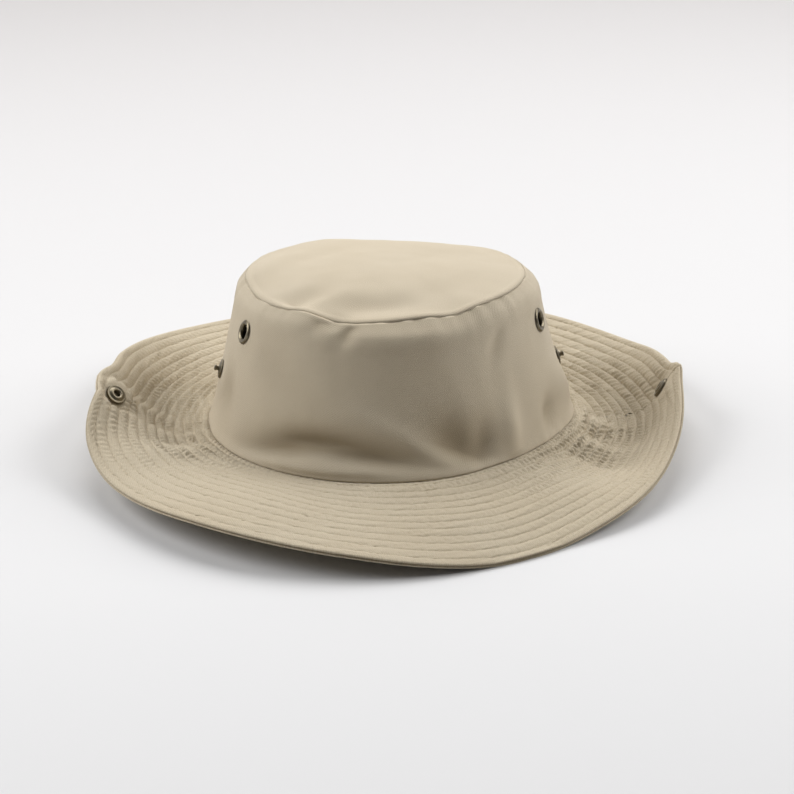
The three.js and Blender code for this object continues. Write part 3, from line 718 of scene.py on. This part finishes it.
# Brim: two plies sewn in rows. Its section runs over the top, round the two folded edges and back
brimSheet = dict(
    columns=560,
    edgeRows=12,
    edgeReach=0.8 * mm,     # how far the folded plies stand out at the edge
    firstRow=4 * mm,        # the rows of stitches, from the crown out
    rowPitch=5.3 * mm,
    rowCount=11,
    edgeRow=62.6 * mm,
    puff=1.00 * mm,         # height of the cloth between two rows
    puffPower=0.6,          # under 1 makes its top flatter
    rib=3.3 * mm,           # between the slanting ribs that the thread draws up
    ribHeight=0.70 * mm,
    ribSlant=1.6 * mm,      # how far a rib leans round from one row to the next
    pucker=0.50 * mm,
    mostGathered=1.5,       # limits the ribs where the cloth is gathered most
    grooveDepth=0.45 * mm,
    grooveWidth=0.5 * mm,
    reliefFrom=3 * mm,      # the relief grows to its full height this far from the crown
    rowShade=0.30,          # how much painted shade darkens the cloth's colour in its rows
    flatWithin=6.0 * mm,    # the cloth is flat this near a socket
    seamRoll=1.1 * mm,      # each half's end is rounded down to the side seam
    sinkLeft=0.15,
    sinkRight=0.85,
    seamClear=0.03 * mm,
    cornerAt=1,             # the turned-up tip at the right seam: azimuth,
    cornerWide=3.5,         # half-width in degrees,
    cornerFrom=0.8,         # share of the brim's width where it starts,
    cornerReach=2.4 * mm,   # and how far it goes up and out
    underShare=0.55,        # the underside's relief as a share of the top's
    topSteps=(0, 0.06, 0.14, 0.30, 0.50, 0.70, 0.86, 0.94),
    underSteps=(0, 0.2, 0.5, 0.8),
    weaveRadius=130 * mm,   # the weave bends round the brim like a flat pattern piece,
    weaveTurn=0.72,         # through this share of the half circle
)
rowPlaces = [brimSheet["firstRow"] + k * brimSheet["rowPitch"] for k in range(brimSheet["rowCount"])]
rowPlaces.append(brimSheet["edgeRow"])
channelEdges = np.array([0] + rowPlaces + [form["brimWidth"]])

# The folded edges' section beside the last of the cloth: out past it as a share of edgeReach, and
# up from its middle as a share of half the wall. The upper ply's fold comes first.
edgeSection = np.array([
    (0.0, 1.0), (0.55, 0.93), (0.95, 0.72), (1.05, 0.50), (0.80, 0.32), (-0.40, 0.24), (-0.90, 0.0),
    (-0.40, -0.20), (0.95, -0.30), (1.30, -0.50), (1.10, -0.74), (0.6, -0.93), (0.0, -1.0),
])


# Rows of the grid, closer beside each row of stitches
def channelRows(steps):
    channels = zip(channelEdges, channelEdges[1:])
    shares = [mix(low, high, step) / form["brimWidth"] for low, high in channels for step in steps]
    return np.array(shares + [1.0])


# How hard the rows draw the cloth up round the hat, near the crown and near the edge
rowDrawn = [
    dict(azimuth=0, inner=1.10, outer=0.90), dict(azimuth=60, inner=0.90, outer=0.85),
    dict(azimuth=120, inner=0.90, outer=0.85), dict(azimuth=155, inner=1.20, outer=1.00),
    dict(azimuth=185, inner=1.20, outer=1.00), dict(azimuth=205, inner=0.95, outer=0.50),
    dict(azimuth=235, inner=0.50, outer=0.22), dict(azimuth=270, inner=0.45, outer=0.32),
    dict(azimuth=305, inner=0.65, outer=0.45), dict(azimuth=335, inner=1.10, outer=0.60),
]

# Where the cloth is gathered more: place as a share of the brim's width, reach round in degrees
gatherPlaces = [
    dict(azimuth=336, out=0.24, around=20, along=0.26, strength=1.1),
    dict(azimuth=197, out=0.26, around=14, along=0.26, strength=1.1),
    dict(azimuth=165, out=0.45, around=24, along=0.50, strength=1.2),
    dict(azimuth=20, out=0.45, around=26, along=0.50, strength=0.9),
]


def gatherStrength(azimuth, t):
    strength = 0.75 + 0.6 * bell(t / 0.14)
    for row in gatherPlaces:
        sideways = bell(wrap(azimuth - row["azimuth"]) / row["around"])
        strength += row["strength"] * sideways * bell((t - row["out"]) / row["along"])
    return strength


# Noise along a row in waves per metre; each channel between two rows reads its own stretch of it
waves = dict(swell=55, ribDrift=60, ribMix=45, wrinkle=260, stitch=480, small=620)


def brimRelief(azimuth, t):
    p = brimSheet
    d = t * form["brimWidth"]
    channel = np.clip(np.searchsorted(channelEdges, d + 1e-7, "right") - 1, 0, len(channelEdges) - 2)
    wide = channelEdges[channel + 1] - channelEdges[channel]
    share = (d - channelEdges[channel]) / wide
    dome = np.sin(np.pi * np.clip(share, 0, 1)) ** p["puffPower"]
    toRow = np.min(np.abs(d[..., None] - np.array(rowPlaces)), -1)
    around = np.radians(azimuth) * (form["baseHalfWidth"] + d)
    slant = around + share * p["ribSlant"]
    swell = 0.7 + 0.6 * noiseAt(around * waves["swell"], channel * 3.7, 31.0)
    wrinkle = noiseAt(slant * waves["wrinkle"], channel * 5.3 + share * 0.5, 37.0)
    small = noiseAt(slant * waves["small"], channel * 9.1 + share, 43.0)
    strength = gatherStrength(azimuth, t)
    byEdge = ease((t - 0.45) / 0.3)
    drawn = mix(roundTable(rowDrawn, "inner", azimuth), roundTable(rowDrawn, "outer", azimuth), byEdge)
    phase = 2 * np.pi * slant / p["rib"] + 5 * noiseAt(around * waves["ribDrift"], channel * 1.9, 61.0)
    ribMix = 0.45 + 0.9 * np.abs(noiseAt(around * waves["ribMix"], channel * 4.3, 67.0))
    ribs = np.sin(phase + channel * 2.1) * ribMix
    stitchDip = 0.55 + 1.1 * noiseAt(around * waves["stitch"], channel * 2.3 + np.round(share) * 1.7, 51.0)
    filled = 0.55 + 0.35 * np.clip(strength, 0, p["mostGathered"])
    relief = p["puff"] * dome * (wide / p["rowPitch"]) * swell * drawn * filled
    relief += p["pucker"] * strength * (0.25 + 0.75 * dome) * (wrinkle + 0.35 * small)
    relief += p["ribHeight"] * drawn * np.minimum(strength, p["mostGathered"]) * dome * ribs
    relief -= p["grooveDepth"] * (0.5 + 0.5 * drawn) * stitchDip * bell(toRow / p["grooveWidth"])
    return relief * ease(t / 0.03)


# Turns the cloth beside a socket to face as the socket does
def socketTilt(points, face, t):
    lift = np.zeros(len(points))
    for row in fittings["sockets"]:
        middle = brimPoint(np.array([float(row["azimuth"])]), np.array([row["out"]]))[0]
        faces = unit(np.array(row["faces"]))
        away = points - middle
        beyond = np.linalg.norm(away, axis=-1) - fittings["tiltWithin"]
        near = 1 - ease(beyond / fittings["tiltFades"])
        lift -= near * (away @ faces) / np.maximum(face @ faces, fittings["leastFacing"])
    return lift * ease((1 - t) / fittings["tiltRim"])


# One half of the brim, from the side seam at the start azimuth to the other
def brimHalf(name, node, start):
    p = brimSheet
    over, under = channelRows(p["topSteps"]), channelRows(p["underSteps"])[::-1]
    top, edge = len(over) - 1, p["edgeRows"]
    total = top + edge + len(under) - 1
    shares = np.concatenate([over, np.ones(edge - 1), under])
    half = form["brimWall"] / 2
    intoHalf = 1 if start == 0 else -1

    def place(u, v):
        row = np.round(v * total).astype(int)
        azimuth = start + u * 180
        t = shares[row]
        inEdge = (row > top) & (row < top + edge)
        section = edgeSection[np.clip(row - top, 0, edge)]
        past = section[:, 0] * p["edgeReach"] * ((row >= top) & (row <= top + edge))
        level = np.interp(row, [0, top, top + edge, total], [1, 1, -1, -1])
        level = np.where(inEdge, section[:, 1], level)
        toSeam = np.minimum(u, 1 - u) * math.pi * (form["baseHalfWidth"] + t * form["brimWidth"])
        sink = mix(p["sinkLeft"], p["sinkRight"], (1 + np.cos(np.radians(azimuth))) / 2)
        pinch = 1 - rolled(toSeam / p["seamRoll"]) * sink
        face = brimFace(azimuth, t)
        middle = brimPoint(azimuth, t)
        along = unit(middle - brimPoint(azimuth, np.maximum(t - 0.02, 0)) + 1e-9)
        relief = brimRelief(azimuth, t) * ease((t * form["brimWidth"]) / p["reliefFrom"])
        relief *= openBrim(azimuth, t, p["flatWithin"])
        lift = level * half * pinch + relief * np.where(level >= 0, 1, -p["underShare"]) * pinch
        lift = np.where(inEdge, level * half * pinch, lift)
        lift = lift + socketTilt(middle, face, t)
        atCorner = bell(wrap(azimuth - p["cornerAt"]) / p["cornerWide"])
        tip = p["cornerReach"] * atCorner * ease((t - p["cornerFrom"]) / (1 - p["cornerFrom"]))
        points = middle + face * lift[:, None] + along * (past + tip)[:, None]
        points[:, 2] += tip
        atSeam = (u < 1e-6) | (u > 1 - 1e-6)
        points[:, 1] = np.where(atSeam, intoHalf * p["seamClear"], points[:, 1])
        radius = p["weaveRadius"] + t * form["brimWidth"]
        angle = np.radians(azimuth) * p["weaveTurn"]
        pattern = np.stack([radius * np.cos(angle), radius * np.sin(angle)], -1)
        # where it lies on the surface the top keeps its wall and its relief
        floor = np.where(level > 0, (form["brimWall"] + relief) * (level + 1) / 2, 0)
        # painted shade in the rows, where the relief dips into the stitched grooves
        paintedRowShade = np.clip(-relief / p["grooveDepth"], 0, 1) * p["rowShade"]
        return settled(points, floor), pattern, paintedRowShade

    clothPiece(name, p["columns"], total, place, [node], brimCloth)


brimHalf("brimBackCloth", "brim_back", 0)
brimHalf("brimFrontCloth", "brim_front", 180)


# The brim's rows of lock stitches
stitching = dict(
    length=2.5 * mm, pitch=3.2 * mm, thick=0.22 * mm,
    flat=0.8,               # a stitch's height as a share of its width
    proud=0.05 * mm,        # of its middle above the cloth
    offset=0.37,            # each row starts this share of a stitch farther round
    fromSeam=2.2 * mm,
    sides=6, rings=4,
)


# One stitch, a spindle of thread that is copied for every stitch and moved onto its place
def stitchMesh():
    bm = bmesh.new()
    bmesh.ops.create_uvsphere(bm, u_segments=stitching["sides"], v_segments=stitching["rings"], radius=1)
    for face in bm.faces:
        face.smooth = True
    mesh = bpy.data.meshes.new("stitch")
    bm.to_mesh(mesh)
    bm.free()
    return mesh


# The stitches of all rows on the top, with side 1, or on the underside, with side -1
def brimStitches(name, side):
    azimuths, shares = [], []
    for k, d in enumerate(rowPlaces):
        radius = form["baseHalfWidth"] + d
        count = round(2 * math.pi * radius / stitching["pitch"])
        row = (np.arange(count) + stitching["offset"] * k) * 360 / count
        row = row[np.abs(np.sin(np.radians(row))) * radius > stitching["fromSeam"]]
        azimuths.append(row)
        shares.append(np.full_like(row, d / form["brimWidth"]))
    azimuths, shares = np.concatenate(azimuths), np.concatenate(shares)
    relief = brimRelief(azimuths, shares) * (1 if side > 0 else brimSheet["underShare"])
    relief *= openBrim(azimuths, shares, brimSheet["flatWithin"])
    middle = brimPoint(azimuths, shares)
    upFace = brimFace(azimuths, shares)
    face = upFace * side
    tilt = socketTilt(middle, upFace, shares) * side
    lift = form["brimWall"] / 2 + relief + stitching["proud"] + tilt
    ahead = brimPoint(azimuths + 0.3, shares) - brimPoint(azimuths - 0.3, shares)
    places = settled(middle + face * lift[:, None])
    along = unit(settled(middle + ahead) - settled(middle))
    across = unit(np.cross(face, along))
    template = stitchMesh()
    sizes = [stitching["length"] / 2, stitching["thick"], stitching["thick"] * stitching["flat"]]
    local = np.array([vert.co[:] for vert in template.vertices]) * sizes
    axes = np.stack([along, across, np.cross(along, across)], 1)
    bm = bmesh.new()
    for _ in places:
        bm.from_mesh(template)
    spots = (places[:, None] + local @ axes).reshape(-1, 3)
    for vert, spot in zip(bm.verts, spots):
        vert.co = spot
    bpy.data.meshes.remove(template)
    mesh = bpy.data.meshes.new(name)
    bm.to_mesh(mesh)
    bm.free()
    piece = bpy.data.objects.new(name, mesh)
    bpy.context.collection.objects.link(piece)
    mesh.materials.append(thread)
    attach(piece, "root")
    print(name, len(places), "stitches", len(mesh.polygons), "faces")


brimStitches("brimTopStitches", 1)
brimStitches("brimUnderStitches", -1)

# Diameters and heights of the fittings
fittingSizes = dict(
    eyelet=12 * mm, eyeletHole=6.8 * mm, eyeletRim=0.9 * mm,
    studBase=9.6 * mm, studPost=2.6 * mm, studReach=3.4 * mm,
    socket=10.6 * mm, socketHole=3.2 * mm, socketHeight=2 * mm,
    cap=12 * mm, capHeight=1.6 * mm, barrel=4.4 * mm,
    trimGap=0.35 * mm,      # between the cloth and a fitting's flange
    steps=48,
    sharpFrom=50,           # degrees between faces that meet in a sharp edge
)


# A turned fitting, spun from its half section as radius and height above the cloth's middle
def spunPiece(name, outline, matrix, node, closedSection=False):
    bm = bmesh.new()
    verts = [bm.verts.new((radius, 0, height)) for radius, height in outline]
    edges = [bm.edges.new(pair) for pair in zip(verts, verts[1:])]
    if closedSection:
        edges.append(bm.edges.new((verts[-1], verts[0])))
    bmesh.ops.spin(bm, geom=verts + edges, cent=(0, 0, 0), axis=(0, 0, 1), angle=2 * math.pi,
                   steps=fittingSizes["steps"], use_merge=True)
    bmesh.ops.remove_doubles(bm, verts=bm.verts, dist=1e-7)
    bmesh.ops.recalc_face_normals(bm, faces=bm.faces)
    bmesh.ops.transform(bm, matrix=matrix, verts=bm.verts)
    for face in bm.faces:
        face.smooth = True
    mesh = bpy.data.meshes.new(name)
    bm.to_mesh(mesh)
    bm.free()
    piece = bpy.data.objects.new(name, mesh)
    bpy.context.collection.objects.link(piece)
    mesh.materials.append(brass)
    mesh.set_sharp_from_angle(angle=math.radians(fittingSizes["sharpFrom"]))
    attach(piece, "root")
    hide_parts(node)


# Over the rolled rim, down through the cloth and round the washer below
def eyeletOutline():
    z = fittingSizes
    seat = form["crownWall"] / 2 + z["trimGap"]
    hole, rim, tall = z["eyeletHole"] / 2, z["eyelet"] / 2, z["eyeletRim"]
    barrel = hole + 0.5 * mm
    upper = [
        (rim, seat), (rim - 0.12 * mm, seat + 0.35 * tall), (rim - 0.5 * mm, seat + 0.75 * tall),
        (rim - 1.2 * mm, seat + tall), (hole + 1.2 * mm, seat + 0.95 * tall),
        (hole + 0.6 * mm, seat + 0.7 * tall), (hole + 0.15 * mm, seat + 0.3 * tall), (hole, seat),
    ]
    lower = [
        (hole, -seat), (hole + 0.3 * mm, -seat - 0.5 * tall), (barrel + 0.6 * mm, -seat - 0.65 * tall),
        (rim * 0.84, -seat - 0.35 * tall), (rim * 0.88, -seat), (barrel, -seat), (barrel, seat),
    ]
    return upper + lower


# From the flat head inside the crown through the cloth to the flange, the neck and the ball
def studOutline():
    z = fittingSizes
    seat = form["crownWall"] / 2 + z["trimGap"]
    flange, post, barrel = z["studBase"] / 2, z["studPost"] / 2, z["barrel"] / 2
    reach = z["studReach"]
    head = [(0, -seat - 0.8 * mm), (flange * 0.6, -seat - 0.78 * mm), (flange * 0.86, -seat - 0.5 * mm),
            (flange * 0.9, -seat), (barrel, -seat)]
    base = [(barrel, seat), (flange, seat), (flange + 0.05 * mm, seat + 0.25 * mm),
            (flange - 0.15 * mm, seat + 0.5 * mm), (flange * 0.72, seat + 0.6 * mm),
            (flange * 0.6, seat + 0.95 * mm), (post + 0.4 * mm, seat + 1.05 * mm)]
    ball = [(post * 0.9, seat + 1.4 * mm), (post * 0.86, seat + reach * 0.62),
            (post * 1.12, seat + reach * 0.8), (post * 1.05, seat + reach * 0.92),
            (post * 0.6, seat + reach), (0, seat + reach)]
    return head + base + ball


# From the domed cap below through the cloth to the ring and down into the hole for the ball
def socketOutline():
    z = fittingSizes
    seat = form["brimWall"] / 2 + z["trimGap"]
    capWide, rim, barrel, hole = z["cap"] / 2, z["socket"] / 2, z["barrel"] / 2, z["socketHole"] / 2
    deep, tall = z["capHeight"], z["socketHeight"]
    cap = [(0, -seat - deep), (capWide * 0.5, -seat - deep * 0.93), (capWide * 0.85, -seat - deep * 0.6),
           (capWide, -seat - 0.25 * mm), (capWide * 0.98, -seat), (barrel, -seat)]
    ring = [(barrel, seat), (rim, seat), (rim + 0.05 * mm, seat + 0.3 * tall),
            (rim - 0.25 * mm, seat + 0.55 * tall), (rim - 0.9 * mm, seat + 0.6 * tall),
            (rim - 1.1 * mm, seat + 0.5 * tall), (rim - 1.5 * mm, seat + 0.55 * tall)]
    mouth = [(hole + 1.6 * mm, seat + 0.9 * tall), (hole + 0.8 * mm, seat + tall),
             (hole + 0.2 * mm, seat + 0.85 * tall), (hole, seat + 0.5 * tall), (hole, 0), (0, 0)]
    return cap + ring + mouth


def pieceName(row, ending):
    return row["name"].replace("_", "") + ending


for row in fittings["eyelets"]:
    spunPiece(pieceName(row, "Ring"), eyeletOutline(), wallSeat(row), row["name"], True)
for row in fittings["studs"]:
    spunPiece(pieceName(row, "Ball"), studOutline(), wallSeat(row), row["name"])
for row in fittings["sockets"]:
    seat = fittingMatrix(brimPoint, brimFace, row["azimuth"], row["out"], row["faces"])
    spunPiece(pieceName(row, "Ring"), socketOutline(), seat, row["name"])
print("fittings spun")

# Floor, backdrop and soft studio light
studio = dict(
    floor="#D9D9DA", far="#B4B2B2",
    nearUntil=-0.1, farFrom=0.9,    # painted shade: the floor's colour darkens to the far colour between these, towards the back, for the light's falloff
    reach=3.0, bend=0.6, bendSteps=12, backdropAt=1.6, height=2.2,
    warmWhite=(1.0, 0.995, 0.99),
    surround=0.10,
    lights=[
        dict(name="softboxAbove", at=(0.10, 1.05, 1.30), aim=(0, 0.02, 0), size=1.2, watts=17),
        dict(name="softboxLeft", at=(-1.50, 0.30, 1.15), aim=(0, 0, 0.05), size=1.5, watts=29),
        dict(name="softboxRight", at=(1.50, 0.25, 1.15), aim=(0, 0, 0.05), size=1.5, watts=28),
    ],
)


# White background paper, matt, with painted shade that darkens its colour towards the far end
def studioPaper():
    material, shader = newMaterial("studioPaper")
    position = addNode(material, "ShaderNodeTexCoord")
    axes = addNode(material, "ShaderNodeSeparateXYZ", None, None, {"Vector": position.outputs["Object"]})
    paintedFalloff = addNode(material, "ShaderNodeMapRange", None,
                     {"From Min": studio["nearUntil"], "From Max": studio["farFrom"]},
                     {"Value": axes.outputs["Y"]})
    tone = addNode(material, "ShaderNodeMix", dict(data_type="RGBA"),
                   {"A": linear(studio["floor"]), "B": linear(studio["far"])},
                   {"Factor": paintedFalloff.outputs["Result"]})
    join(material, tone.outputs["Result"], shader.inputs["Base Color"])
    shader.inputs["Roughness"].default_value = 0.8
    shader.inputs["Specular IOR Level"].default_value = 0.2
    return material


# The paper's profile, out along the floor and up in a bend, drawn across its width
def makeStage():
    bendFrom = studio["backdropAt"] - studio["bend"]
    profile = [(-studio["reach"], 0)]
    for i in range(studio["bendSteps"] + 1):
        a = math.radians(90 * i / studio["bendSteps"])
        profile.append((bendFrom + studio["bend"] * math.sin(a), studio["bend"] * (1 - math.cos(a))))
    profile.append((studio["backdropAt"], studio["height"]))
    bm = bmesh.new()
    verts = [bm.verts.new((-studio["reach"], y, z)) for y, z in profile]
    edges = [bm.edges.new(pair) for pair in zip(verts, verts[1:])]
    made = bmesh.ops.extrude_edge_only(bm, edges=edges)["geom"]
    moved = [item for item in made if isinstance(item, bmesh.types.BMVert)]
    bmesh.ops.translate(bm, verts=moved, vec=(2 * studio["reach"], 0, 0))
    bmesh.ops.recalc_face_normals(bm, faces=bm.faces)
    for face in bm.faces:
        face.smooth = True
    mesh = bpy.data.meshes.new("studioSweep")
    bm.to_mesh(mesh)
    bm.free()
    sweep = bpy.data.objects.new("studioSweep", mesh)
    bpy.context.collection.objects.link(sweep)
    mesh.materials.append(studioPaper())


def makeLight(row):
    data = bpy.data.lights.new(row["name"], "AREA")
    data.shape = "DISK"
    data.size = row["size"]
    data.energy = row["watts"]
    data.color = studio["warmWhite"]
    light = bpy.data.objects.new(row["name"], data)
    light.location = row["at"]
    light.rotation_euler = (Vector(row["aim"]) - light.location).to_track_quat("-Z", "Y").to_euler()
    bpy.context.collection.objects.link(light)


def makeSurround():
    world = bpy.data.worlds.new("studioWorld")
    world.use_nodes = True
    background = world.node_tree.nodes["Background"]
    background.inputs["Color"].default_value = (1, 1, 1, 1)
    background.inputs["Strength"].default_value = studio["surround"]
    bpy.context.scene.world = world


makeStage()
for row in studio["lights"]:
    makeLight(row)
makeSurround()
bpy.context.scene.view_settings.view_transform = "Standard"
print("studio set")
